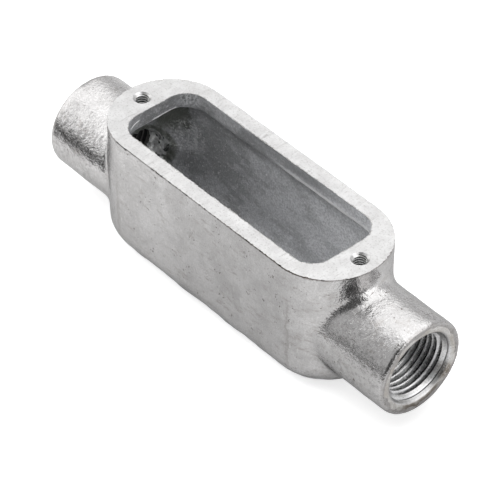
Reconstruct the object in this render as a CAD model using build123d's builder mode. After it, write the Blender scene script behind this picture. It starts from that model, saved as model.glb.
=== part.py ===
from build123d import *
import os

# A straight-through conduit body for 1/2 inch pipe, cast in one piece of iron.
# Millimetres. The flat back lies on Z = 0, the machined cover face looks up
# along +Z, and the two hubs point along +X and -X.

# Box of the body, measured at the cover face
body_length = 96.9
body_width = 34.3
body_depth = 40.1
side_draft = 0.1
back_edge_radius = 8.6

# Metal between the outside and the cavity, at the sides, the ends and the back
wall = 3.2

# The opening is smaller than the cavity under it: by a narrow ledge along the
# sides, and at each end by a land that holds a cover screw
ledge = 1.55
land_overhang = 7.05
land_thickness = 5.4
land_edge_radius = 0.8
land_root_radius = 0.6
opening_corner_radius = 6.5

# Cover screws, number 8-32, drilled and tapped right through each land
screw_minor_diameter = 3.45
screw_sink_diameter = 5.1
screw_sink_angle = 90
screw_wall_clearance = 0.4

# Hubs, tapped for 1/2-14 taper pipe thread
thread_minor_diameter = 18.3
thread_mouth_diameter = 22.0
thread_length = 16.0
hub_wall = 3.15
hub_reach = 18.35
hub_back_clearance = 4.05
hub_root_radius = 3.5
hub_mouth_radius = 1.0

# Throat between each hub and the cavity, rounded where the wires pass
throat_diameter = 15.8
throat_edge_radius = 1.4

# Sizes that follow from the ones above
cavity_length = body_length - 2 * wall
cavity_width = body_width - 2 * wall
cavity_top_z = body_depth - land_thickness
cavity_edge_radius = back_edge_radius - wall
opening_length = cavity_length - 2 * land_overhang
opening_width = cavity_width - 2 * ledge
screw_radius = screw_minor_diameter / 2
screw_x = cavity_length / 2 - screw_radius - screw_wall_clearance
hub_radius = thread_mouth_diameter / 2 + hub_wall
hub_axis_z = hub_back_clearance + hub_radius
hub_face_x = body_length / 2 + hub_reach
thread_radius = thread_minor_diameter / 2
mouth_radius = thread_mouth_diameter / 2
mouth_depth = mouth_radius - thread_radius
stop_x = hub_face_x - thread_length
throat_radius = throat_diameter / 2

os.makedirs("parts", exist_ok=True)

with BuildPart() as conduit_body:
    # The box: a round-ended block that leans in a little from the cover face to the back
    with BuildSketch(Plane.XY.offset(body_depth)):
        SlotOverall(body_length, body_width)
    extrude(amount=-body_depth, taper=side_draft)
    back_face = conduit_body.faces().sort_by(Axis.Z)[0]
    fillet(back_face.edges(), back_edge_radius)

    # The hubs: a round bar along X that stands out of both ends, blended into them
    with BuildSketch(Plane.YZ.offset(-hub_face_x)):
        with Locations((0, hub_axis_z)):
            Circle(hub_radius)
    extrude(amount=2 * hub_face_x)
    fillet(conduit_body.edges().filter_by(GeomType.BSPLINE), hub_root_radius)
    hub_faces = conduit_body.faces().sort_by(Axis.X)
    fillet(hub_faces[0].edges() + hub_faces[-1].edges(), hub_mouth_radius)

    # The cavity, with the same draft as the outside and a rounded floor
    with BuildSketch(Plane.XY.offset(cavity_top_z)):
        SlotOverall(cavity_length, cavity_width)
    extrude(amount=wall - cavity_top_z, taper=side_draft, mode=Mode.SUBTRACT)
    cavity_floor = conduit_body.faces().filter_by(Plane.XY).sort_by(Axis.Z)[1]
    fillet(cavity_floor.edges(), cavity_edge_radius)

    # The opening in the cover face, cut down into the cavity
    with BuildSketch(Plane.XY.offset(body_depth)):
        RectangleRounded(opening_length, opening_width, opening_corner_radius)
    extrude(amount=-land_thickness, mode=Mode.SUBTRACT)
    under_land = conduit_body.faces().filter_by(Plane.XY).sort_by(Axis.Z)[2]
    fillet(under_land.outer_wire().edges(), land_root_radius)
    under_land = conduit_body.faces().filter_by(Plane.XY).sort_by(Axis.Z)[2]
    fillet(under_land.inner_wires()[0].edges(), land_edge_radius)

    # The straight way through both hubs: sunk mouth, thread, stop and throat
    with BuildSketch(Plane.XZ):
        with BuildLine():
            Polyline(
                (0, hub_axis_z),
                (0, hub_axis_z + throat_radius),
                (stop_x, hub_axis_z + throat_radius),
                (stop_x, hub_axis_z + thread_radius),
                (hub_face_x - mouth_depth, hub_axis_z + thread_radius),
                (hub_face_x, hub_axis_z + mouth_radius),
                (hub_face_x, hub_axis_z),
                close=True,
            )
        make_face()
        mirror(about=Plane.YZ)
    revolve(axis=Axis((0, 0, hub_axis_z), (1, 0, 0)), mode=Mode.SUBTRACT)
    throat_edges = (
        conduit_body.edges()
        .filter_by(GeomType.BSPLINE)
        .filter_by_position(Axis.X, -cavity_length / 2, cavity_length / 2)
        .filter_by_position(Axis.Y, -throat_radius, throat_radius)
    )
    fillet(throat_edges, throat_edge_radius)

    # The screw holes through the lands
    with Locations(Plane.XY.offset(body_depth)):
        with Locations((screw_x, 0), (-screw_x, 0)):
            CounterSinkHole(
                radius=screw_radius,
                counter_sink_radius=screw_sink_diameter / 2,
                depth=land_thickness + land_root_radius,
                counter_sink_angle=screw_sink_angle,
            )

conduit_body.part.label = "conduit_body"
export_step(conduit_body.part, "parts/conduit_body.step")
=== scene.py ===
import math
from contextlib import contextmanager

import bmesh
import bpy
from mathutils import Matrix, Vector, noise


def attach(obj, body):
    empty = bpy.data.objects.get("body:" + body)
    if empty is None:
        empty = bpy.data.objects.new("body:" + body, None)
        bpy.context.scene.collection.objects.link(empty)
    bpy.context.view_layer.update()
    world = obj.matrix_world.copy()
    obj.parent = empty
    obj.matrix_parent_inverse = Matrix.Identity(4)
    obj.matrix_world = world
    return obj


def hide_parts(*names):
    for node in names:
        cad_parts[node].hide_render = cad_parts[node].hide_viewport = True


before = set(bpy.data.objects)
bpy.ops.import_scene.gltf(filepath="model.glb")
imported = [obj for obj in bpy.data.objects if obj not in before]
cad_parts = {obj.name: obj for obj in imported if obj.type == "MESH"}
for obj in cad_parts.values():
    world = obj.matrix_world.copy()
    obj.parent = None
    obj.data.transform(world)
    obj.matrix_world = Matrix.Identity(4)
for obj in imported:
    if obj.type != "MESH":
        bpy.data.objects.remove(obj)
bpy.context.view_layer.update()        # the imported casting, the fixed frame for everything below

# A cast conduit body with a zinc finish. The casting is shaped in millimetres in
# the same order as in the works: a rough casting, then the cover face and hub
# faces milled, the hubs bored and tapped, and the cover screw holes drilled and
# tapped. The finished piece goes to metres at the end.

MILLIMETRE = 0.001

# Sizes of the casting, in millimetres, the same as in the part's source
BODY_LENGTH = 96.9
BODY_WIDTH = 34.3
BODY_DEPTH = 40.1
WALL = 3.2
LAND_THICKNESS = 5.4
HUB_FACE_X = 66.8
HUB_AXIS_Z = 18.2
BORE_RADIUS = 9.15
THROAT_RADIUS = 7.9
STOP_X = 50.8
OPENING_HALF_LENGTH = 38.2
OPENING_HALF_WIDTH = 12.4
OPENING_CORNER = 6.5
SCREW_X = 43.125
SCREW_RADIUS = 1.725
SINK_RADIUS = 2.55

# A faint seam in the sides, near the start of the round ends
SEAM_X = 34.4

# Sizes that follow from the ones above
LEDGE_Z = BODY_DEPTH - LAND_THICKNESS
ROUND_END_X = (BODY_LENGTH - BODY_WIDTH) / 2
SINK_Z = BODY_DEPTH - (SINK_RADIUS - SCREW_RADIUS)

# The sunk mouth of each bore: how far in from the hub face, and the radius there
MOUTH_PROFILE = (
    (3.0, BORE_RADIUS),
    (1.25, 10.4),
    (0.85, 10.52),
    (0.55, 10.68),
    (0.32, 10.88),
    (0.15, 11.15),
    (0.05, 11.5),
    (0.0, 11.95),
    (-0.3, 14.5),
)
THROAT_OVERLAP = 1.2
DRILL_FROM_Z = 30.0
DRILL_PAST = 1
BORE_STEPS = 128
DRILL_STEPS = 48

# Threads: 14 to the inch on a taper in the hubs, 32 to the inch for the screws.
# Each tap starts a little outside the metal.
INCH = 25.4
PIPE_PITCH = INCH / 14
PIPE_ROOT_RADIUS = 10.61
PIPE_ROOT_FLAT = 0.09
PIPE_TAPER = 1 / 32
PIPE_TAP_START = 3.0
PIPE_STEPS = 96
SCREW_PITCH = INCH / 32
SCREW_ROOT_RADIUS = 2.085
SCREW_ROOT_FLAT = 0.1
SCREW_TAP_START = 1
SCREW_STEPS = 28
TAP_TURNS = 10
FLANK_ANGLE = 30
WELD = 0.002

# The rough casting: the cell size of its skin and the stock that is milled off
SKIN_CELL = 0.66
SMOOTHINGS = 3
STOCK = 1.2
HUB_STOCK = 0.08
HUB_EDGE = 1.02

# Metal that fills its bores and its screw holes until they are cut
BORE_FILL_RADIUS = 12.3
BORE_FILL_START = 0.5
BORE_FILL_STEPS = 96
PIN_LIFT = 0.05
PIN_EXTRA = 0.25
PIN_HEAD_EXTRA = 0.5
PIN_HEAD_HEIGHT = 1.2

# How far the mills reach past the casting
MILL_LENGTH = 80
MILL_WIDTH = 30
MILL_DEPTH = 6
FACE_MILL_TOP = 50

# Lengths that count as nothing
TOUCH = 0.01
SLIVER = 0.003
FLUSH = 0.001

# Unevenness of the cast skin: the size of the waves and how high they stand
SWELL_CELL = 9.0
PEEL_CELL = 2.3
PEEL_SEED = Vector((7, 3, 11))
INNER_SWELL = 0.16
INNER_PEEL = 0.08
OUTER_SWELL = 0.07
OUTER_PEEL = 0.04
OUTER_SINK = 0.06

# Lumps round the two throats
LUMP_CELL = 2.6
LUMP_SEED = Vector((1, 9, 5))
LUMP_HEIGHT = 1.5
LUMP_SINK = 0.1
LUMP_REACH = 3.0
LUMP_FROM_X = 40
THROAT_RIM = 0.6
THROAT_BAND = 1.0

# Nicks in the milled edges of the cover face
NICK_CELL = 0.7
NICK_SEED = Vector((4, 2, 8))
NICK_DEPTH = 0.28
NICK_START = 0.02
NICK_BAND = 1.5
TURNED_FACE = 0.3
NICK_CHECKS = 3

SHARP_EDGE = math.radians(32)

# Colours of the outside
ZINC_DULL = (0.495, 0.487, 0.486, 1)
ZINC_CLEAN = (0.60, 0.592, 0.592, 1)
ZINC_HUB = (0.50, 0.495, 0.495, 1)
ZINC_SPECKLE = (0.38, 0.372, 0.368, 1)
ZINC_STREAK = (0.35, 0.33, 0.315, 1)
ZINC_FLECK = (0.68, 0.675, 0.67, 1)
ZINC_SEAM = (0.33, 0.315, 0.305, 1)
ZINC_DARK = (0.20, 0.195, 0.19, 1)
FOOT_SHADE = (0.16, 0.15, 0.145, 1)
DIRT_SPECK = (0.16, 0.145, 0.135, 1)
EDGE_SHADE_DARK = (0.10, 0.085, 0.075, 1)

# Colours of the inside, with painted shade at the left end and painted light at the right
SHADED_END_LOW = (0.38, 0.383, 0.39, 1)
SHADED_END_HIGH = (0.64, 0.645, 0.66, 1)
LIT_END_LOW = (0.82, 0.825, 0.84, 1)
LIT_END_HIGH = (0.98, 0.985, 1.0, 1)
INNER_SPECKLE = (0.26, 0.262, 0.27, 1)
LEDGE_BAND_SHADE = (0.24, 0.242, 0.25, 1)
LEDGE_SHADE = (0.12, 0.122, 0.125, 1)
PAINTED_SHADOW = (0.145, 0.155, 0.13, 1)
THROAT_SHADOW = (0.04, 0.042, 0.04, 1)
LUMP_LOW = (0.45, 0.455, 0.45, 1)
LUMP_HIGH = (0.80, 0.805, 0.80, 1)
BARE_PATCH = (0.95, 0.96, 0.97, 1)
WHITE = (1.0, 1.0, 1.0, 1)

# Colours of the machined faces
MILLED_DULL = (0.52, 0.516, 0.515, 1)
MILLED_CLEAN = (0.60, 0.598, 0.597, 1)
MILLED_MARK = (0.30, 0.295, 0.29, 1)
MILLED_GRAIN = (0.33, 0.322, 0.315, 1)
TURNED_DULL = (0.44, 0.418, 0.39, 1)
TURNED_CLEAN = (0.60, 0.592, 0.58, 1)
TURNED_LOW = (0.11, 0.095, 0.08, 1)
STAIN_AND_DARK_REFLECTION = (0.15, 0.125, 0.10, 1)
TURNED_SPECKLE = (0.20, 0.185, 0.17, 1)
BORE_DULL = (0.58, 0.575, 0.57, 1)
BORE_CLEAN = (0.70, 0.70, 0.705, 1)
BORE_CREST_HIGHLIGHT = (0.74, 0.74, 0.74, 1)
MOUTH_LOWER_DARK = (0.34, 0.335, 0.335, 1)
BORE_DEEP_SHADE = (0.08, 0.08, 0.077, 1)
THREAD_DULL = (0.57, 0.57, 0.575, 1)
THREAD_CLEAN = (0.64, 0.64, 0.645, 1)
THREAD_ROOT_SHADE = (0.07, 0.07, 0.07, 1)
THREAD_DEEP_SHADE = (0.08, 0.08, 0.078, 1)
SCREW_CREST = (0.42, 0.42, 0.415, 1)
SCREW_ROOT_SHADE = (0.04, 0.042, 0.036, 1)
METAL_TINT = (0.65, 0.65, 0.65, 1)


# Shop tools

def new_object(name, data):
    made = bpy.data.objects.new(name, data)
    bpy.context.scene.collection.objects.link(made)
    return made


def scrap(thing):
    mesh = thing.data
    bpy.data.objects.remove(thing)
    bpy.data.meshes.remove(mesh)


def settle(thing):
    """Makes an object's modifiers permanent."""
    graph = bpy.context.evaluated_depsgraph_get()
    graph.update()
    mesh = bpy.data.meshes.new_from_object(thing.evaluated_get(graph), depsgraph=graph)
    old = thing.data
    thing.modifiers.clear()
    thing.data = mesh
    mesh.name = old.name
    bpy.data.meshes.remove(old)


@contextmanager
def reshaped(mesh):
    """Opens a mesh for work on its points and faces, and puts the result back."""
    shape = bmesh.new()
    shape.from_mesh(mesh)
    yield shape
    shape.to_mesh(mesh)
    shape.free()


def placing(point, axis):
    """The move that takes the local Z axis to an axis through a point."""
    turn = Vector((0, 0, 1)).rotation_difference(Vector(axis)).to_matrix().to_4x4()
    return Matrix.Translation(Vector(point)) @ turn


def lathe(name, profile, steps, point, axis):
    """A solid turned from a profile of (distance along the axis, radius), closed at both ends."""
    mesh = bpy.data.meshes.new(name)
    with reshaped(mesh) as shape:
        turns = [2 * math.pi * i / steps for i in range(steps)]
        rings = []
        for along, radius in profile:
            ring = [(radius * math.cos(turn), radius * math.sin(turn), along) for turn in turns]
            rings.append([shape.verts.new(place) for place in ring])
        for lower, upper in zip(rings, rings[1:]):
            for i in range(steps):
                j = (i + 1) % steps
                shape.faces.new((lower[i], lower[j], upper[j], upper[i]))
        shape.faces.new(list(reversed(rings[0])))
        shape.faces.new(rings[-1])
        bmesh.ops.recalc_face_normals(shape, faces=shape.faces)
    mesh.transform(placing(point, axis))
    return new_object(name, mesh)


def block(name, low, high):
    mesh = bpy.data.meshes.new(name)
    with reshaped(mesh) as shape:
        bmesh.ops.create_cube(shape, size=1)
    low = Vector(low)
    high = Vector(high)
    mesh.transform(Matrix.Translation((low + high) / 2) @ Matrix.Diagonal((*(high - low), 1)))
    return new_object(name, mesh)


def cut(work, tool, material):
    """Takes a tool's shape out of the work. The new surface gets the tool's finish."""
    if not tool.data.materials:
        tool.data.materials.append(material)
    change = work.modifiers.new("cut", "BOOLEAN")
    change.operation = "DIFFERENCE"
    change.solver = "MANIFOLD"
    change.material_mode = "TRANSFER"
    change.object = tool
    settle(work)
    scrap(tool)


# Node trees

class Nodes:
    """Short ways to add nodes to a tree and join them."""

    def __init__(self, tree):
        self.tree = tree

    def add(self, kind, **settings):
        node = self.tree.nodes.new(kind)
        for key, value in settings.items():
            setattr(node, key, value)
        return node

    def plug(self, value, socket):
        if isinstance(value, bpy.types.NodeSocket):
            self.tree.links.new(value, socket)
        else:
            socket.default_value = value

    def split(self, vector):
        node = self.add("ShaderNodeSeparateXYZ")
        self.plug(vector, node.inputs[0])
        return node.outputs

    def maths(self, operation, first, second=0.0):
        node = self.add("ShaderNodeMath", operation=operation)
        self.plug(first, node.inputs[0])
        self.plug(second, node.inputs[1])
        return node.outputs[0]

    def plus(self, first, *others):
        for other in others:
            first = self.maths("ADD", first, other)
        return first

    def minus(self, first, second):
        return self.maths("SUBTRACT", first, second)

    def times(self, first, *others):
        for other in others:
            first = self.maths("MULTIPLY", first, other)
        return first

    def most(self, first, *others):
        for other in others:
            first = self.maths("MAXIMUM", first, other)
        return first

    def fit(self, value, low, high, new_low=0.0, new_high=1.0):
        """Goes softly from one level to another while a value goes from low to high."""
        node = self.add("ShaderNodeMapRange", interpolation_type="SMOOTHSTEP")
        self.plug(value, node.inputs["Value"])
        node.inputs["From Min"].default_value = low
        node.inputs["From Max"].default_value = high
        node.inputs["To Min"].default_value = new_low
        node.inputs["To Max"].default_value = new_high
        return node.outputs["Result"]

    def band(self, value, low, low_full, high_full, high):
        """One between the two full values, nothing outside low and high."""
        return self.times(self.fit(value, low, low_full), self.fit(value, high, high_full))


class Shader(Nodes):
    """One material, with the object's own coordinates x, y and z in millimetres."""

    def __init__(self, name):
        self.material = bpy.data.materials.new(name)
        self.material.use_nodes = True
        super().__init__(self.material.node_tree)
        self.tree.nodes.clear()
        self.where = self.add("ShaderNodeTexCoord").outputs["Object"]
        place = self.split(self.where)
        self.x, self.y, self.z = (self.times(place[axis], 1 / MILLIMETRE) for axis in "XYZ")
        self.end = self.maths("ABSOLUTE", self.x)

    def scaled(self, sizes, turn=(0, 0, 0)):
        node = self.add("ShaderNodeMapping")
        self.plug(self.where, node.inputs["Vector"])
        node.inputs["Rotation"].default_value = turn
        node.inputs["Scale"].default_value = sizes
        return node.outputs["Vector"]

    def noise(self, cell_mm, detail=4.0, roughness=0.55, where=None, warp=0.0):
        node = self.add("ShaderNodeTexNoise")
        self.plug(where or self.where, node.inputs["Vector"])
        node.inputs["Scale"].default_value = 1 / (cell_mm * MILLIMETRE)
        node.inputs["Detail"].default_value = detail
        node.inputs["Roughness"].default_value = roughness
        node.inputs["Distortion"].default_value = warp
        return node.outputs["Fac"]

    def patches(self, low, high, cell_mm, **look):
        """Chance patches: nothing where the noise is below low, one where it is above high."""
        return self.fit(self.noise(cell_mm, **look), low, high)

    def ragged(self, width_mm, cell_mm, **look):
        """A chance shift to both sides, for the edge of a stain."""
        return self.times(self.minus(self.noise(cell_mm, **look), 0.5), width_mm)

    def blend(self, share, first, second):
        node = self.add("ShaderNodeMix", data_type="RGBA")
        self.plug(share, node.inputs["Factor"])
        self.plug(first, node.inputs["A"])
        self.plug(second, node.inputs["B"])
        return node.outputs["Result"]

    def tinted(self, colour, tint, *shares):
        """A colour with a tint over it, as strong as all the shares multiplied."""
        return self.blend(self.times(*shares), colour, tint)

    def bump(self, height, depth_mm, normal=None):
        node = self.add("ShaderNodeBump")
        node.inputs["Distance"].default_value = depth_mm * MILLIMETRE
        self.plug(height, node.inputs["Height"])
        if normal is not None:
            self.plug(normal, node.inputs["Normal"])
        return node.outputs["Normal"]

    def length(self, *sides):
        """The length of a line from its two or three sides."""
        return self.maths("SQRT", self.plus(*(self.times(side, side) for side in sides)))

    def near(self, point, far, close):
        """One at a point of the piece, fading to nothing at a distance."""
        sides = (self.minus(value, middle) for value, middle in zip((self.x, self.y, self.z), point))
        return self.fit(self.length(*sides), far, close)

    def from_hub_axis(self):
        return self.length(self.y, self.minus(self.z, HUB_AXIS_Z))

    def opening_gap(self):
        """The distance from the edge of the opening."""
        along = self.most(self.minus(self.end, OPENING_HALF_LENGTH - OPENING_CORNER), 0.0)
        side = self.maths("ABSOLUTE", self.y)
        across = self.most(self.minus(side, OPENING_HALF_WIDTH - OPENING_CORNER), 0.0)
        return self.minus(self.length(along, across), OPENING_CORNER)

    def underside_shade(self):
        """Where shade is painted: one where the skin faces the table, and along the foot of the casting."""
        normal = self.split(self.add("ShaderNodeNewGeometry").outputs["Normal"])
        on_hub = self.fit(self.end, 44.0, 50.0, 0.0, 0.4)
        down = self.fit(self.minus(normal["Z"], on_hub), -0.7, -1.04)
        return self.most(down, self.fit(self.z, 1.6, 0.4))

    def in_hub(self):
        """One in the hubs and nothing in the screw holes."""
        return self.fit(self.z, 33.0, 32.0)

    def deep_end(self):
        """Where shade is painted: the stop of each bore, and the unlit deep end of the left one."""
        left = self.times(self.fit(self.end, STOP_X + 12.0, STOP_X + 8.0), self.fit(self.x, 1.0, -1.0))
        return self.most(self.fit(self.end, STOP_X + 1.0, STOP_X), left)

    def rim_edge_shade(self):
        """A thin broken dark line of painted shade under the milled edges."""
        ragged = self.ragged(0.9, 1.0, detail=5.0, roughness=0.7)
        cover = self.times(
            self.fit(self.plus(self.z, ragged), BODY_DEPTH - 0.62, BODY_DEPTH - 0.30),
            self.fit(self.x, -5.0, 38.0, 0.5, 1.0),
            self.fit(self.x, 46.0, 38.0, 0.45, 1.0),
        )
        hub = self.plus(self.end, self.times(ragged, 0.4))
        hub_line = self.times(self.fit(hub, HUB_FACE_X - 0.22, HUB_FACE_X - 0.05), 0.4)
        round_edge = self.times(self.fit(hub, HUB_FACE_X - 0.9, HUB_FACE_X - 0.3), 0.2)
        return self.most(cover, hub_line, round_edge)

    def show(self, node):
        """Puts a shader node on the surface, and returns the material."""
        out = self.add("ShaderNodeOutputMaterial")
        self.plug(node.outputs[0], out.inputs["Surface"])
        return self.material

    def metal(self, colour, roughness, normal, metallic=1.0):
        node = self.add("ShaderNodeBsdfPrincipled")
        self.plug(colour, node.inputs["Base Color"])
        self.plug(roughness, node.inputs["Roughness"])
        self.plug(normal, node.inputs["Normal"])
        node.inputs["Metallic"].default_value = metallic
        node.inputs["Specular Tint"].default_value = METAL_TINT
        return self.show(node)

    def glow(self, strength):
        node = self.add("ShaderNodeEmission")
        self.plug(strength, node.inputs["Strength"])
        return node


# Finishes of the casting

def zinc_skin():
    """The outside of the casting under its zinc coat: hammered, mottled and lightly pitted."""
    s = Shader("zinc_skin")
    normal = s.bump(s.noise(4.5, detail=2.0), 0.16)
    normal = s.bump(s.noise(0.9, detail=3.0, roughness=0.6), 0.115, normal)
    normal = s.bump(s.noise(0.45, detail=1.0), 0.025, normal)

    mottle = s.patches(0.40, 0.60, 11.0, detail=7.0, roughness=0.65)
    colour = s.blend(mottle, ZINC_DULL, ZINC_CLEAN)
    on_hub = s.fit(s.end, 46.0, 50.0)
    colour = s.tinted(colour, ZINC_HUB, on_hub, s.fit(s.x, -1.0, 1.0, 0.1, 0.5))
    coarse = s.patches(0.50, 0.58, 1.3, detail=6.0, roughness=0.75)
    colour = s.tinted(colour, ZINC_DARK, coarse, on_hub, s.fit(s.z, 31.5, 27.0), 0.5)
    speckle = s.patches(0.35, 0.65, 0.5, detail=3.0, roughness=0.7)
    colour = s.tinted(colour, ZINC_SPECKLE, speckle, 0.45)
    lying = s.scaled((0.35, 0.35, 1.0), (0.5, 0.3, 0))
    streak = s.patches(0.52, 0.68, 1.6, detail=6.0, roughness=0.75, where=lying)
    colour = s.tinted(colour, ZINC_STREAK, streak, 0.65)
    upright = s.scaled((1.0, 1.0, 0.4), (0.2, 0.5, 0))
    fleck = s.patches(0.56, 0.68, 0.8, detail=5.0, roughness=0.75, where=upright)
    colour = s.tinted(colour, ZINC_FLECK, fleck, 0.6)

    # The faint seam where the straight side goes over into the round end
    seam = s.minus(s.plus(s.end, s.ragged(5.0, 2.6, detail=7.0, roughness=0.75)), SEAM_X)
    seam = s.times(s.band(seam, -1.6, 0.0, 0.0, 0.4), s.band(s.z, 3.0, 10.0, 24.0, 34.0))
    colour = s.tinted(colour, ZINC_SEAM, seam, 0.55)

    # Painted shade where the skin faces the table and along the foot
    colour = s.tinted(colour, FOOT_SHADE, s.underside_shade(), 0.7)
    speck = s.patches(0.62, 0.67, 0.7, detail=2.0, warp=0.6)
    colour = s.tinted(colour, DIRT_SPECK, speck, s.patches(0.52, 0.62, 4.0, detail=3.0))
    # Painted shade: a thin dark line under the milled edges
    colour = s.tinted(colour, EDGE_SHADE_DARK, s.rim_edge_shade())
    roughness = s.fit(s.noise(2.2, detail=4.0), 0.3, 0.7, 0.15, 0.26)
    return s.metal(colour, roughness, normal)


def burr(s, foot, slope, low, high):
    """A burr along Y on the left end of the opening, which gets a painted highlight in white: where it is,
    and its step.
    """
    above = s.minus(s.z, s.plus(s.times(s.y, slope), foot))
    share = s.times(
        s.band(s.y, low - 0.8, low, high, high + 0.8),
        s.fit(s.x, -35.5, -36.5),
        s.fit(s.maths("ABSOLUTE", above), 0.34, 0.14),
    )
    return share, s.times(share, s.fit(above, 0.25, -0.25))


def ledge_tones(s, colour):
    """The narrow ledge under the rim, in painted light and shade: a painted highlight on its edge, painted
    shade on its face, a painted highlight on its ridge and painted shade below.
    """
    # A painted highlight along the lower edge of the land at the left end
    edge = s.band(s.z, LEDGE_Z + 0.05, LEDGE_Z + 0.25, LEDGE_Z + 0.7, LEDGE_Z + 1.1)
    colour = s.tinted(colour, WHITE, edge, s.fit(s.x, -33.0, -36.0, 0.0, 0.5))
    far_side = s.fit(s.y, 8.0, 11.0)
    # Painted shade on the face of the ledge on the far side
    middle = s.times(s.fit(s.x, -20.0, -8.0, 0.15, 0.55), s.fit(s.x, 34.0, 10.0, 0.15, 1.0))
    colour = s.tinted(colour, LEDGE_BAND_SHADE, middle, far_side, s.fit(s.z, LEDGE_Z + 1.4, LEDGE_Z + 3.4))
    # A painted highlight on the ridge under the ledge on the far side
    ridge = s.band(s.z, LEDGE_Z, LEDGE_Z + 0.4, LEDGE_Z + 1.2, LEDGE_Z + 2.0)
    colour = s.tinted(colour, WHITE, ridge, far_side, s.fit(s.x, -6.0, 6.0))
    shade = s.band(s.z, LEDGE_Z - 4.5, LEDGE_Z - 1.0, LEDGE_Z - 0.4, LEDGE_Z + 0.2)
    return s.tinted(colour, LEDGE_SHADE, shade, s.fit(s.x, 30.0, 8.0, 0.1, 0.28))


def throat_tones(s, colour, mottle):
    """Painted shadow under the lands on the far side and round the throats, and the lumps in the throats
    with black painted shadow between them.
    """
    ragged = s.ragged(9.0, 1.8, detail=6.0, roughness=0.7)
    fine = s.ragged(7.0, 0.7, detail=4.0, roughness=0.7)
    end = s.plus(s.end, ragged)
    under_land = s.times(
        s.fit(s.plus(end, fine), 37.0, 39.0),
        s.fit(s.plus(s.z, ragged, fine), 23.0, 27.0),
        s.fit(s.z, LEDGE_Z + 0.3, LEDGE_Z - 0.3),
        s.fit(s.y, 3.5, 6.5),
    )
    throat = s.minus(s.from_hub_axis(), THROAT_RADIUS)
    mouth = s.times(s.band(throat, 0.3, 0.7, 1.6, 2.6), s.fit(end, 38.0, 41.0))
    # Painted shadow under the lands and in the shaded crescent round each throat
    colour = s.tinted(colour, PAINTED_SHADOW, s.most(under_land, mouth), 0.85)
    flake = s.patches(0.51, 0.57, 0.9, detail=6.0, roughness=0.75)
    colour = s.tinted(colour, WHITE, s.near((-38.5, 11.8, 23.0), 7.5, 4.0), flake, 0.6)
    # The lumps, with black painted shadow in the hollows between them
    lumps = s.patches(0.40, 0.50, 3.4, detail=6.0, roughness=0.65, warp=0.6)
    lumpy = s.blend(lumps, THROAT_SHADOW, s.blend(mottle, LUMP_LOW, LUMP_HIGH))
    return s.tinted(colour, lumpy, s.fit(throat, 0.9, 0.4), s.fit(end, 41.0, 42.0))


def inner_skin():
    """The inside of the casting: darker, bluer and rougher than the outside."""
    s = Shader("inner_skin")
    normal = s.bump(s.noise(1.1, detail=5.0, roughness=0.65), 0.35)
    normal = s.bump(s.noise(0.4, detail=2.0), 0.10, normal)
    corner_glint, corner_step = burr(s, foot=39.19, slope=0.24, low=-8.2, high=-5.6)
    land_glint, land_step = burr(s, foot=LEDGE_Z + 1.0, slope=0.0, low=-0.3, high=7.6)
    normal = s.bump(s.most(corner_step, s.times(land_step, 0.6)), 0.8, normal)

    along = s.scaled((0.45, 1.0, 1.0), (0, 0.5, 0))
    mottle = s.patches(0.42, 0.58, 6.0, detail=8.0, roughness=0.65, where=along)
    shaded_end = s.blend(mottle, SHADED_END_LOW, SHADED_END_HIGH)
    lit_end = s.blend(mottle, LIT_END_LOW, LIT_END_HIGH)
    # Painted light: the inside goes from shaded at the left end to lit at the right
    colour = s.blend(s.fit(s.x, -25.0, 42.0), shaded_end, lit_end)
    speckle = s.patches(0.35, 0.65, 0.6, detail=3.0, roughness=0.7)
    colour = s.tinted(colour, INNER_SPECKLE, speckle, 0.5)
    fleck = s.patches(0.56, 0.68, 0.55, detail=3.0, roughness=0.7)
    colour = s.tinted(colour, WHITE, fleck, 0.5)
    colour = ledge_tones(s, colour)
    colour = throat_tones(s, colour, mottle)
    patch = s.patches(0.42, 0.58, 0.7, detail=4.0, roughness=0.7)
    colour = s.tinted(colour, BARE_PATCH, s.near((-36.0, 11.0, 38.0), 4.5, 1.5), patch, 0.8)
    # Painted highlights in white on the two burrs
    colour = s.tinted(colour, WHITE, s.most(corner_glint, s.times(land_glint, 0.7)))
    roughness = s.fit(s.noise(2.0, detail=4.0), 0.3, 0.7, 0.42, 0.56)
    return s.metal(colour, roughness, normal, metallic=0.4)


def milled_face():
    """The cover face: bright and matt, with faint mill marks across it."""
    s = Shader("milled_face")
    marks = s.noise(0.7, detail=4.0, roughness=0.6, where=s.scaled((1.0, 0.12, 1.0), (0, 0, 0.5)))
    grain = s.noise(0.5, detail=3.0, roughness=0.7)
    normal = s.bump(marks, 0.05)
    normal = s.bump(grain, 0.08, normal)
    colour = s.blend(s.patches(0.35, 0.65, 5.0, detail=6.0, roughness=0.6), MILLED_DULL, MILLED_CLEAN)
    colour = s.tinted(colour, MILLED_MARK, s.fit(marks, 0.60, 0.74, 0.0, 0.45))
    colour = s.tinted(colour, MILLED_GRAIN, s.fit(grain, 0.54, 0.66, 0.0, 0.6))
    nibble = s.plus(s.opening_gap(), s.ragged(1.6, 0.9, detail=5.0, roughness=0.75))
    colour = s.tinted(colour, ZINC_DARK, s.fit(nibble, 0.25, 0.0), 0.8)
    roughness = s.fit(marks, 0.3, 0.7, 0.36, 0.50)
    return s.metal(colour, roughness, normal)


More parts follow.
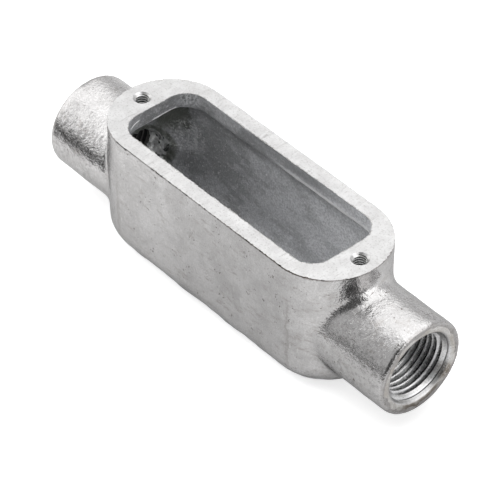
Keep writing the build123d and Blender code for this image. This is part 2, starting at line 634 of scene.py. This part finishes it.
def bored_face():
    """The turned hub face, the sunk mouth and the bore."""
    s = Shader("bored_face")
    grain = s.noise(0.5, detail=4.0)
    normal = s.bump(grain, 0.05)
    mottle = s.patches(0.35, 0.65, 3.0, detail=6.0)
    colour = s.blend(mottle, TURNED_DULL, TURNED_CLEAN)
    face = s.fit(s.end, HUB_FACE_X - 0.5, HUB_FACE_X - 0.15)
    off_face = s.minus(1.0, face)
    # Darker towards the bottom of the hub face
    low = s.fit(s.plus(s.z, s.times(mottle, 3.0)), 15.0, 7.0)
    colour = s.tinted(colour, TURNED_LOW, low, face, 0.95)
    colour = s.tinted(colour, s.blend(mottle, BORE_DULL, BORE_CLEAN), off_face)
    # A brown stain on the chamfer, darkened further as a painted dark reflection
    stain = s.near((HUB_FACE_X, 8.9, 12.0), 3.6, 1.2)
    colour = s.tinted(colour, STAIN_AND_DARK_REFLECTION, stain, s.fit(grain, 0.36, 0.52), 0.75)
    speckle = s.patches(0.52, 0.62, 0.45, detail=3.0, roughness=0.7)
    colour = s.tinted(colour, TURNED_SPECKLE, speckle, 0.4)
    # Painted highlight on the crests deep in the bore
    colour = s.tinted(colour, BORE_CREST_HIGHLIGHT, s.fit(s.end, HUB_FACE_X - 2.8, HUB_FACE_X - 3.2), s.in_hub())
    # Darker towards the bottom of the sunk mouth
    low_mouth = s.plus(s.z, s.times(s.noise(1.6, detail=5.0, roughness=0.7), 8.0))
    colour = s.tinted(colour, MOUTH_LOWER_DARK, s.fit(low_mouth, 17.0, 10.0), s.in_hub(), off_face, 0.5)
    deep = s.times(s.deep_end(), s.in_hub())
    # Painted shade at the stop of each bore and deep in the left one
    colour = s.tinted(colour, BORE_DEEP_SHADE, deep)
    roughness = s.fit(s.noise(1.5, detail=3.0), 0.3, 0.7, 0.30, 0.42)
    return s.metal(colour, s.most(roughness, s.times(deep, 0.8)), normal)


def cut_thread():
    """The tapped threads: bright in the hubs and darker in the screw holes, with painted shade in the roots
    and deep ends and a painted highlight low in the right bore.
    """
    s = Shader("cut_thread")
    grain = s.noise(0.8, detail=2.0)
    normal = s.bump(grain, 0.004)
    colour = s.blend(s.fit(grain, 0.3, 0.7), THREAD_DULL, THREAD_CLEAN)
    taper = s.times(s.minus(HUB_FACE_X, s.end), PIPE_TAPER)
    root = s.fit(s.plus(s.from_hub_axis(), taper), 10.2, 10.5)
    # A painted highlight low in the right bore's thread
    lit = s.near((58.0, 0.0, 9.1), 6.0, 2.5)
    colour = s.tinted(colour, WHITE, lit)
    # Painted shade along the roots of the pipe thread, weaker where the highlight is painted
    colour = s.tinted(colour, THREAD_ROOT_SHADE, root, s.minus(0.8, s.times(lit, 0.55)))
    # Painted shade at the stop of each bore and deep in the left one
    colour = s.tinted(colour, THREAD_DEEP_SHADE, s.deep_end(), 0.85)
    # Painted shade in the roots of the screw threads
    from_screw_axis = s.length(s.minus(s.end, SCREW_X), s.y)
    screw = s.blend(s.fit(from_screw_axis, 1.78, 1.95), SCREW_CREST, SCREW_ROOT_SHADE)
    colour = s.tinted(colour, screw, s.fit(s.z, 32.0, 33.0))
    roughness = s.fit(s.noise(1.5, detail=3.0), 0.3, 0.7, 0.24, 0.32)
    deep = s.times(s.deep_end(), s.in_hub(), 0.8)
    return s.metal(colour, s.most(roughness, deep), normal, metallic=0.95)


ZINC = zinc_skin()
INNER = inner_skin()
MILLED = milled_face()
BORED = bored_face()
THREAD = cut_thread()


# The taps

TAP_INPUTS = (
    ("Root Radius", "NodeSocketFloat"),
    ("Taper", "NodeSocketFloat"),
    ("Pitch", "NodeSocketFloat"),
    ("Root Flat", "NodeSocketFloat"),
    ("Turns", "NodeSocketInt"),
    ("Steps Per Turn", "NodeSocketInt"),
    ("Finish", "NodeSocketMaterial"),
)


def tap_tree():
    """A tap's cutting shape along Z: a V thread on a taper, closed at both ends."""
    tree = bpy.data.node_groups.new("tap_cutter", "GeometryNodeTree")
    tree.interface.new_socket("Geometry", in_out="OUTPUT", socket_type="NodeSocketGeometry")
    for name, kind in TAP_INPUTS:
        tree.interface.new_socket(name, in_out="INPUT", socket_type=kind)
    g = Nodes(tree)
    given = g.add("NodeGroupInput").outputs

    def vector(x, y, z):
        node = g.add("ShaderNodeCombineXYZ")
        for value, socket in zip((x, y, z), node.inputs):
            g.plug(value, socket)
        return node.outputs[0]

    def switch(test, no, yes):
        node = g.add("GeometryNodeSwitch", input_type="FLOAT")
        g.plug(test, node.inputs["Switch"])
        g.plug(no, node.inputs["False"])
        g.plug(yes, node.inputs["True"])
        return node.outputs[0]

    def weld(mesh):
        node = g.add("GeometryNodeMergeByDistance")
        g.plug(mesh, node.inputs["Geometry"])
        node.inputs["Distance"].default_value = WELD
        return node.outputs[0]

    # One strip, four points wide: it is wound up so that its edges meet
    strip = g.add("GeometryNodeMeshGrid")
    g.plug(g.plus(g.times(given["Turns"], given["Steps Per Turn"]), 1), strip.inputs["Vertices X"])
    strip.inputs["Vertices Y"].default_value = 4
    place = g.split(g.add("GeometryNodeInputPosition").outputs[0])
    wound = g.times(g.plus(place["X"], 0.5), given["Turns"])
    column = g.times(place["Y"], 3.0)
    outer = g.maths("GREATER_THAN", g.maths("ABSOLUTE", column), 1.0)
    half = switch(outer, g.times(given["Root Flat"], 0.5), g.times(given["Pitch"], 0.5))
    along = g.plus(g.times(wound, given["Pitch"]), g.times(g.maths("SIGN", column), half))
    root = g.minus(given["Root Radius"], g.times(along, given["Taper"]))
    steepness = 0.5 / math.tan(math.radians(FLANK_ANGLE))
    flank = g.times(g.minus(given["Pitch"], given["Root Flat"]), steepness)
    radius = g.minus(root, switch(outer, 0.0, flank))
    turn = g.times(wound, 2 * math.pi)
    across = g.times(radius, g.maths("COSINE", turn))
    up = g.times(radius, g.maths("SINE", turn))
    wind = g.add("GeometryNodeSetPosition")
    g.plug(strip.outputs["Mesh"], wind.inputs["Geometry"])
    g.plug(vector(across, up, along), wind.inputs["Position"])

    # Both ends are closed on a point on the axis
    rim = g.add("FunctionNodeCompare", data_type="INT", operation="EQUAL")
    g.plug(g.add("GeometryNodeInputMeshEdgeNeighbors").outputs[0], rim.inputs["A"])
    rim.inputs["B"].default_value = 1
    close = g.add("GeometryNodeExtrudeMesh", mode="EDGES")
    g.plug(weld(wind.outputs[0]), close.inputs["Mesh"])
    g.plug(rim.outputs[0], close.inputs["Selection"])
    close.inputs["Offset Scale"].default_value = 0.0
    height = g.split(g.add("GeometryNodeInputPosition").outputs[0])["Z"]
    reach = g.times(given["Turns"], given["Pitch"])
    far = g.maths("GREATER_THAN", height, g.times(reach, 0.5))
    point = g.add("GeometryNodeSetPosition")
    g.plug(close.outputs["Mesh"], point.inputs["Geometry"])
    g.plug(close.outputs["Top"], point.inputs["Selection"])
    g.plug(vector(0.0, 0.0, switch(far, 0.0, reach)), point.inputs["Position"])

    real = g.add("GeometryNodeRealizeInstances")
    g.plug(weld(point.outputs[0]), real.inputs["Geometry"])
    finish = g.add("GeometryNodeSetMaterial")
    g.plug(real.outputs[0], finish.inputs["Geometry"])
    g.plug(given["Finish"], finish.inputs["Material"])
    g.plug(finish.outputs[0], g.add("NodeGroupOutput").inputs[0])
    return tree


def tap(name, tree, point, axis, **sizes):
    """A tap that starts at a point and runs along an axis."""
    tool = new_object(name, bpy.data.meshes.new(name))
    shape = tool.modifiers.new("tap", "NODES")
    shape.node_group = tree
    for key, value in sizes.items():
        shape[tree.interface.items_tree[key.replace("_", " ")].identifier] = value
    settle(tool)
    with reshaped(tool.data) as solid:
        bmesh.ops.triangulate(solid, faces=solid.faces)
        bmesh.ops.recalc_face_normals(solid, faces=solid.faces)
    tool.data.transform(placing(point, axis))
    return tool


# The casting

def fill_bar(end):
    """Fills one hub's bore from the stop to the face, as it is before boring."""
    profile = (
        (STOP_X - BORE_FILL_START, BORE_FILL_RADIUS),
        (HUB_FACE_X + HUB_STOCK, BORE_FILL_RADIUS),
    )
    return lathe("fill", profile, BORE_FILL_STEPS, (0, 0, HUB_AXIS_Z), (end, 0, 0))


def fill_pin(end):
    """Fills one screw hole and its sunk mouth, as they are before drilling."""
    step = BODY_DEPTH - PIN_HEAD_HEIGHT
    profile = (
        (LEDGE_Z + PIN_LIFT, SCREW_RADIUS + PIN_EXTRA),
        (step, SCREW_RADIUS + PIN_EXTRA),
        (step, SINK_RADIUS + PIN_HEAD_EXTRA),
        (BODY_DEPTH + STOCK, SINK_RADIUS + PIN_HEAD_EXTRA),
    )
    return lathe("fill", profile, DRILL_STEPS, (end * SCREW_X, 0, 0), (0, 0, 1))


def rough_casting():
    """The casting before machining: its own skin, with stock to mill off and the bores still full."""
    shape = bmesh.new()
    shape.from_mesh(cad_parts["conduit_body"].data)
    bmesh.ops.scale(shape, vec=Vector([1 / MILLIMETRE] * 3), verts=shape.verts)
    bmesh.ops.remove_doubles(shape, verts=shape.verts, dist=FLUSH)
    for v in shape.verts:
        if v.co.z > BODY_DEPTH - TOUCH:
            v.co.z += STOCK
        if abs(v.co.x) > HUB_FACE_X - HUB_EDGE:
            v.co.x += math.copysign(HUB_STOCK, v.co.x)
    for end in (-1, 1):
        for fill in (fill_bar(end), fill_pin(end)):
            shape.from_mesh(fill.data)
            scrap(fill)
    rough = bpy.data.meshes.new("rough_casting")
    shape.to_mesh(rough)
    shape.free()
    casting = new_object("casting", rough)
    skin = casting.modifiers.new("skin", "REMESH")
    skin.mode = "VOXEL"
    skin.voxel_size = SKIN_CELL
    skin.use_smooth_shade = True
    settle(casting)
    every_way = {"use_axis_x": True, "use_axis_y": True, "use_axis_z": True}
    with reshaped(casting.data) as shape:
        for _ in range(SMOOTHINGS):
            bmesh.ops.smooth_vert(shape, verts=shape.verts, factor=0.5, **every_way)
    return casting


def waves(place, smoothness, octaves):
    """Chance waves in the metal, each octave half as long as the one before."""
    return noise.fractal(place, smoothness, 2.0, octaves)


def past_side(x):
    """How far a point lies past the straight sides, towards the tip of a round end."""
    return max(abs(x) - ROUND_END_X, 0)


def inside(x, y, z):
    """True on the cavity's own surfaces, with the throats."""
    if abs(x) >= STOP_X:
        return False
    in_box = z > WALL / 2 and math.hypot(past_side(x), y) < BODY_WIDTH / 2 - WALL / 2
    return in_box or math.hypot(y, z - HUB_AXIS_Z) < THROAT_RADIUS + THROAT_BAND


def cast_skin(casting):
    """Moves the skin in and out a little, as sand and zinc leave it."""
    mesh = casting.data
    for v, n in zip(mesh.vertices, [f.vector.copy() for f in mesh.vertex_normals]):
        p = v.co
        swell = waves(p / SWELL_CELL, smoothness=1.0, octaves=2)
        peel = waves(p / PEEL_CELL + PEEL_SEED, smoothness=0.8, octaves=3)
        if inside(*p):
            rise = INNER_SWELL * swell + INNER_PEEL * peel
            throat = math.hypot(p.y, p.z - HUB_AXIS_Z)
            near = max(0.0, 1 - abs(throat - THROAT_RADIUS - THROAT_RIM) / LUMP_REACH)
            if abs(p.x) > LUMP_FROM_X and near > 0:
                lump = waves(p / LUMP_CELL + LUMP_SEED, smoothness=0.9, octaves=3)
                rise += near * (LUMP_HEIGHT * lump - LUMP_SINK)
        else:
            rise = OUTER_SWELL * swell + OUTER_PEEL * peel - OUTER_SINK
        v.co = p + n * rise
    for v in mesh.vertices:
        v.co.y = max(-BODY_WIDTH / 2, min(BODY_WIDTH / 2, v.co.y))
        v.co.z = max(0.0, v.co.z)


def machined(casting):
    """Mills, bores and taps the rough casting."""
    low = (-MILL_LENGTH, -MILL_WIDTH, BODY_DEPTH)
    high = (MILL_LENGTH, MILL_WIDTH, BODY_DEPTH + MILL_DEPTH)
    cut(casting, block("mill", low, high), MILLED)
    tree = tap_tree()
    for end in (-1, 1):
        # The hub: face, bore, thread
        near, far = sorted((end * HUB_FACE_X, end * (HUB_FACE_X + MILL_DEPTH)))
        low = (near, -MILL_WIDTH, -MILL_DEPTH)
        cut(casting, block("face_mill", low, (far, MILL_WIDTH, FACE_MILL_TOP)), BORED)
        profile = [(STOP_X - THROAT_OVERLAP, THROAT_RADIUS), (STOP_X, THROAT_RADIUS), (STOP_X, BORE_RADIUS)]
        profile += [(HUB_FACE_X - depth, radius) for depth, radius in MOUTH_PROFILE]
        cut(casting, lathe("bore", profile, BORE_STEPS, (0, 0, HUB_AXIS_Z), (end, 0, 0)), BORED)
        start = ((HUB_FACE_X + PIPE_TAP_START) * end, 0, HUB_AXIS_Z)
        cut(casting, tap(
            "pipe_tap", tree, start, (-end, 0, 0),
            Root_Radius=PIPE_ROOT_RADIUS + PIPE_TAP_START * PIPE_TAPER, Taper=PIPE_TAPER,
            Pitch=PIPE_PITCH, Root_Flat=PIPE_ROOT_FLAT,
            Turns=TAP_TURNS, Steps_Per_Turn=PIPE_STEPS, Finish=THREAD,
        ), THREAD)

        # The cover screw hole: hole and sunk mouth, thread
        profile = (
            (DRILL_FROM_Z, SCREW_RADIUS),
            (SINK_Z, SCREW_RADIUS),
            (BODY_DEPTH, SINK_RADIUS),
            (BODY_DEPTH + DRILL_PAST, SINK_RADIUS + DRILL_PAST),
        )
        cut(casting, lathe("drill", profile, DRILL_STEPS, (end * SCREW_X, 0, 0), (0, 0, 1)), BORED)
        cut(casting, tap(
            "screw_tap", tree, (end * SCREW_X, 0, BODY_DEPTH + SCREW_TAP_START), (0, 0, -1),
            Root_Radius=SCREW_ROOT_RADIUS, Taper=0.0, Pitch=SCREW_PITCH, Root_Flat=SCREW_ROOT_FLAT,
            Turns=TAP_TURNS, Steps_Per_Turn=SCREW_STEPS, Finish=THREAD,
        ), THREAD)


def clean_facets(casting):
    """Closes the slivers that the cutters leave, and splits the many-sided faces."""
    with reshaped(casting.data) as shape:
        bmesh.ops.dissolve_degenerate(shape, edges=shape.edges, dist=SLIVER)
        many_sided = [face for face in shape.faces if len(face.verts) > 4]
        bmesh.ops.triangulate(shape, faces=many_sided, ngon_method="BEAUTY")


def cover_face_edges(shape, milled):
    """The outer edge of the cover face and the edge of its opening, without the screw holes."""
    found = []
    for edge in shape.edges:
        kinds = [face.material_index == milled for face in edge.link_faces]
        at = edge.verts[0].co
        flat = all(v.co.z > BODY_DEPTH - FLUSH for v in edge.verts)
        hole = math.hypot(abs(at.x) - SCREW_X, at.y) < 2 * SINK_RADIUS
        if flat and not hole and len(kinds) == 2 and kinds[0] != kinds[1]:
            found.append(edge)
    return found


def nick_edges(casting):
    """Leaves the milled edges of the cover face a little ragged."""
    milled = casting.data.materials.find(MILLED.name)
    with reshaped(casting.data) as shape:
        bmesh.ops.subdivide_edges(shape, edges=cover_face_edges(shape, milled), cuts=1)
        rim = {v for edge in cover_face_edges(shape, milled) for v in edge.verts}
        around = {face for v in rim for face in v.link_faces}
        split = [face for face in shape.faces if face in around and len(face.verts) > 3]
        bmesh.ops.triangulate(shape, faces=split)
        rim = {v for edge in cover_face_edges(shape, milled) for v in edge.verts}
        milled_at = {v: v.co.copy() for v in shape.verts if v in rim}
        facing = {face: face.normal.copy() for face in shape.faces if not rim.isdisjoint(face.verts)}
        for v in milled_at:
            outwards = Vector((math.copysign(past_side(v.co.x), v.co.x), v.co.y, 0))
            bite = NICK_DEPTH * waves(v.co / NICK_CELL + NICK_SEED, smoothness=0.7, octaves=3)
            if outwards.length > BODY_WIDTH / 2 - NICK_BAND:
                bite = max(0.0, bite + NICK_START)
            v.co -= outwards.normalized() * bite

        # Points that turned a face over go back to where the mill left them
        for _ in range(NICK_CHECKS):
            for face, was in facing.items():
                face.normal_update()
                if face.normal.dot(was) < TURNED_FACE:
                    for v in face.verts:
                        v.co = milled_at.get(v, v.co)


def finish_casting(casting):
    """Gives each surface its finish and its hard or soft edges, then goes to metres."""
    mesh = casting.data
    used = list(mesh.materials)
    old = [used[f.material_index] if f.material_index < len(used) else None for f in mesh.polygons]
    finishes = (ZINC, INNER, MILLED, BORED, THREAD)
    mesh.materials.clear()
    for finish in finishes:
        mesh.materials.append(finish)
    for face, was in zip(mesh.polygons, old):
        if was not in (MILLED, BORED, THREAD):
            was = INNER if inside(*face.center) and face.center.z < BODY_DEPTH - TOUCH else ZINC
        face.material_index = finishes.index(was)
    with reshaped(mesh) as shape:
        for face in shape.faces:
            face.smooth = True
        for edge in shape.edges:
            if len(edge.link_faces) == 2:
                edge.smooth = edge.calc_face_angle() < SHARP_EDGE
    mesh.transform(Matrix.Scale(MILLIMETRE, 4))
    mesh.name = "zinc_cast_body"
    casting.name = "zinc_cast_body"


body = rough_casting()
cast_skin(body)
machined(body)
clean_facets(body)
nick_edges(body)
finish_casting(body)
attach(body, "root")
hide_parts("conduit_body")


# The studio, in metres

# The camera stands where the photo was taken from
LENS = 222.07
SENSOR = 36
SHIFT = (0.0341, -0.0127)
CAMERA_PLACE = (0.45949, -0.40796, 0.56573)
CAMERA_TILT = 48.193
CAMERA_TURN = 48.763
CAMERA_NEAR = 0.05
CAMERA_FAR = 20

# How bright the sky is as a light on the object
SKY_LIGHT = 0.55

# The floor, and how bright it looks to the camera and in the metal, from left to
# right. The fades lie along X, in millimetres.
FLOOR_REACH = 4.0
FLOOR_DROP = 0.0001
FLOOR_WHITE = 0.68
FLOOR_PAINT = (0.7, 0.7, 0.7, 1)
SHEEN_LEFT = 0.42
SHEEN_MIDDLE = 0.10
SHEEN_RIGHT = 0.20
LEFT_FADE = (-75.0, 0.0)
RIGHT_FADE = (20.0, 60.0)

# The round wall, and how bright its parts are
WALL_REACH = 1.8
WALL_LOW = 1.1
WALL_RISE = 2.0
WALL_STEPS = 96
FRONT_GREY = 0.68
BACK_GREY = 0.80
RIGHT_GREY = 0.12
CORNER_WHITE = 1.3
LEFT_GREY = 0.9

# The dark card: a part of a ring on the table, its turns in degrees
DARK_NEAR = 0.125
DARK_MIDDLE = 0.03
DARK_HEIGHT = 0.0005
DARK_GREY = 0.08
DARK_FROM = -158
DARK_TURN = 168
DARK_STEPS = 64


def camera():
    lens = bpy.data.cameras.new("camera")
    lens.sensor_width = SENSOR
    lens.lens = LENS
    lens.shift_x, lens.shift_y = SHIFT
    lens.clip_start = CAMERA_NEAR
    lens.clip_end = CAMERA_FAR
    seat = new_object("camera", lens)
    seat.location = CAMERA_PLACE
    seat.rotation_euler = (math.radians(CAMERA_TILT), 0, math.radians(CAMERA_TURN))
    bpy.context.scene.camera = seat


def sky():
    """White to the camera and in reflections, dimmer as a light on the object."""
    world = bpy.data.worlds.new("studio")
    world.use_nodes = True
    bpy.context.scene.world = world
    s = Nodes(world.node_tree)
    path = s.add("ShaderNodeLightPath").outputs
    seen = s.most(path["Is Camera Ray"], path["Is Glossy Ray"], path["Is Transmission Ray"])
    glow = s.tree.nodes["Background"]
    glow.inputs["Color"].default_value = WHITE
    s.plug(s.fit(seen, 0.0, 1.0, SKY_LIGHT, 1.0), glow.inputs["Strength"])


def hide(thing, *rays):
    """Keeps a thing of the studio from the camera and from the kinds of rays named."""
    for ray in ("camera", "shadow", *rays):
        setattr(thing, "visible_" + ray, False)


def sheet(name, corners):
    """A flat four-cornered piece of the studio."""
    mesh = bpy.data.meshes.new(name)
    mesh.from_pydata(corners, [], [(0, 1, 2, 3)])
    return new_object(name, mesh)


def floor():
    """A pale floor that keeps the object's shadow: white to the camera, dimmer in reflections."""
    r = FLOOR_REACH
    z = -FLOOR_DROP
    ground = sheet("floor", [(-r, -r, z), (r, -r, z), (r, r, z), (-r, r, z)])
    s = Shader("pale_floor")
    path = s.add("ShaderNodeLightPath").outputs
    left = s.fit(s.x, *LEFT_FADE, SHEEN_LEFT, SHEEN_MIDDLE)
    right = s.fit(s.x, *RIGHT_FADE, 0.0, SHEEN_RIGHT)
    sheen = s.times(path["Is Glossy Ray"], s.plus(left, right))
    paint = s.add("ShaderNodeBsdfDiffuse")
    paint.inputs["Color"].default_value = FLOOR_PAINT
    both = s.add("ShaderNodeAddShader")
    s.plug(paint.outputs[0], both.inputs[0])
    s.plug(s.glow(s.plus(s.times(path["Is Camera Ray"], FLOOR_WHITE), sheen)).outputs[0], both.inputs[1])
    ground.data.materials.append(s.show(both))


def wall_height(x, y):
    """High in front and at the left, low behind. x and y count the wall's radius as one."""
    front = (0.25 - y) / 0.6
    left = 0.4 * (-0.5 - x) / 0.3
    return WALL_LOW + WALL_RISE * min(1.0, max(0.0, front, left))


def studio_wall():
    """Grey flats round the set, out of the camera's sight, for the metal to reflect."""
    mesh = bpy.data.meshes.new("studio_wall")
    with reshaped(mesh) as shape:
        foot = []
        top = []
        for i in range(WALL_STEPS):
            turn = 2 * math.pi * i / WALL_STEPS
            x = math.cos(turn)
            y = math.sin(turn)
            foot.append(shape.verts.new((WALL_REACH * x, WALL_REACH * y, 0)))
            top.append(shape.verts.new((WALL_REACH * x, WALL_REACH * y, wall_height(x, y))))
        for i in range(WALL_STEPS):
            j = (i + 1) % WALL_STEPS
            shape.faces.new((foot[i], top[i], top[j], foot[j]))
    wall = new_object("studio_wall", mesh)
    s = Shader("grey_wall")
    x = s.times(s.x, MILLIMETRE / WALL_REACH)
    y = s.times(s.y, MILLIMETRE / WALL_REACH)
    level = FRONT_GREY
    for grey, share in (
        (BACK_GREY, s.fit(y, -0.1, 0.5)),
        (RIGHT_GREY, s.times(s.fit(x, 0.0, 0.45), s.fit(y, 0.25, 0.0))),
        (CORNER_WHITE, s.times(s.fit(x, 0.6, 0.8), s.fit(y, 0.15, 0.35))),
        (LEFT_GREY, s.times(s.fit(x, -0.75, -0.9), s.fit(y, 0.5, -0.1))),
    ):
        level = s.plus(level, s.times(share, s.minus(grey, level)))
    mesh.materials.append(s.show(s.glow(level)))
    hide(wall)


def white_card(name, ends, foot, top, strength, hidden_from=()):
    """An upright white card beside the set, for the metal to reflect."""
    (x0, y0), (x1, y1) = ends
    card = sheet(name, [(x0, y0, foot), (x1, y1, foot), (x1, y1, top), (x0, y0, top)])
    s = Shader(name)
    card.data.materials.append(s.show(s.glow(strength)))
    hide(card, *hidden_from)


def dark_card():
    """A dark card on the table in front of the casting, for the metal alone to reflect."""
    mesh = bpy.data.meshes.new("dark_card")
    with reshaped(mesh) as shape:
        rings = []
        for radius in (DARK_NEAR, WALL_REACH):
            ring = []
            for i in range(DARK_STEPS + 1):
                turn = math.radians(DARK_FROM + DARK_TURN * i / DARK_STEPS)
                x = DARK_MIDDLE + radius * math.cos(turn)
                ring.append(shape.verts.new((x, radius * math.sin(turn), DARK_HEIGHT)))
            rings.append(ring)
        near, far = rings
        for i in range(DARK_STEPS):
            shape.faces.new((near[i], far[i], far[i + 1], near[i + 1]))
    card = new_object("dark_card", mesh)
    s = Shader("card_grey")
    mesh.materials.append(s.show(s.glow(DARK_GREY)))
    hide(card, "diffuse")


def softbox(name, place, aim, size, power):
    lamp = bpy.data.lights.new(name, "AREA")
    lamp.shape = "RECTANGLE"
    lamp.size, lamp.size_y = size
    lamp.energy = power
    seat = new_object(name, lamp)
    seat.location = place
    seat.rotation_euler = (Vector(aim) - Vector(place)).to_track_quat("-Z", "Y").to_euler()
    seat.visible_camera = False
    return seat


camera()
sky()
floor()
studio_wall()
dark_card()
white_card("left_card", ends=((-0.289, -0.287), (-0.55, 0.10)), foot=0.02, top=0.42, strength=1.8)
white_card(
    "right_card", ends=((0.89, -0.125), (0.74, 0.52)), foot=0.08, top=1.05, strength=2.2,
    hidden_from=("diffuse",),
)
softbox("top_box", place=(-0.4, 0.55, 1.1), aim=(-0.4, 0.55, 0), size=(1.9, 1.8), power=10)
fill = softbox("fill_box", place=(-0.25, -0.45, 1.1), aim=(0, 0, 0), size=(0.6, 0.6), power=4)
fill.visible_glossy = False
right = softbox("right_box", place=(0.9, 0.55, 1.1), aim=(0.9, 0.55, 0), size=(0.7, 1.8), power=3.7)
right.visible_diffuse = False
bpy.context.scene.view_settings.view_transform = "Standard"
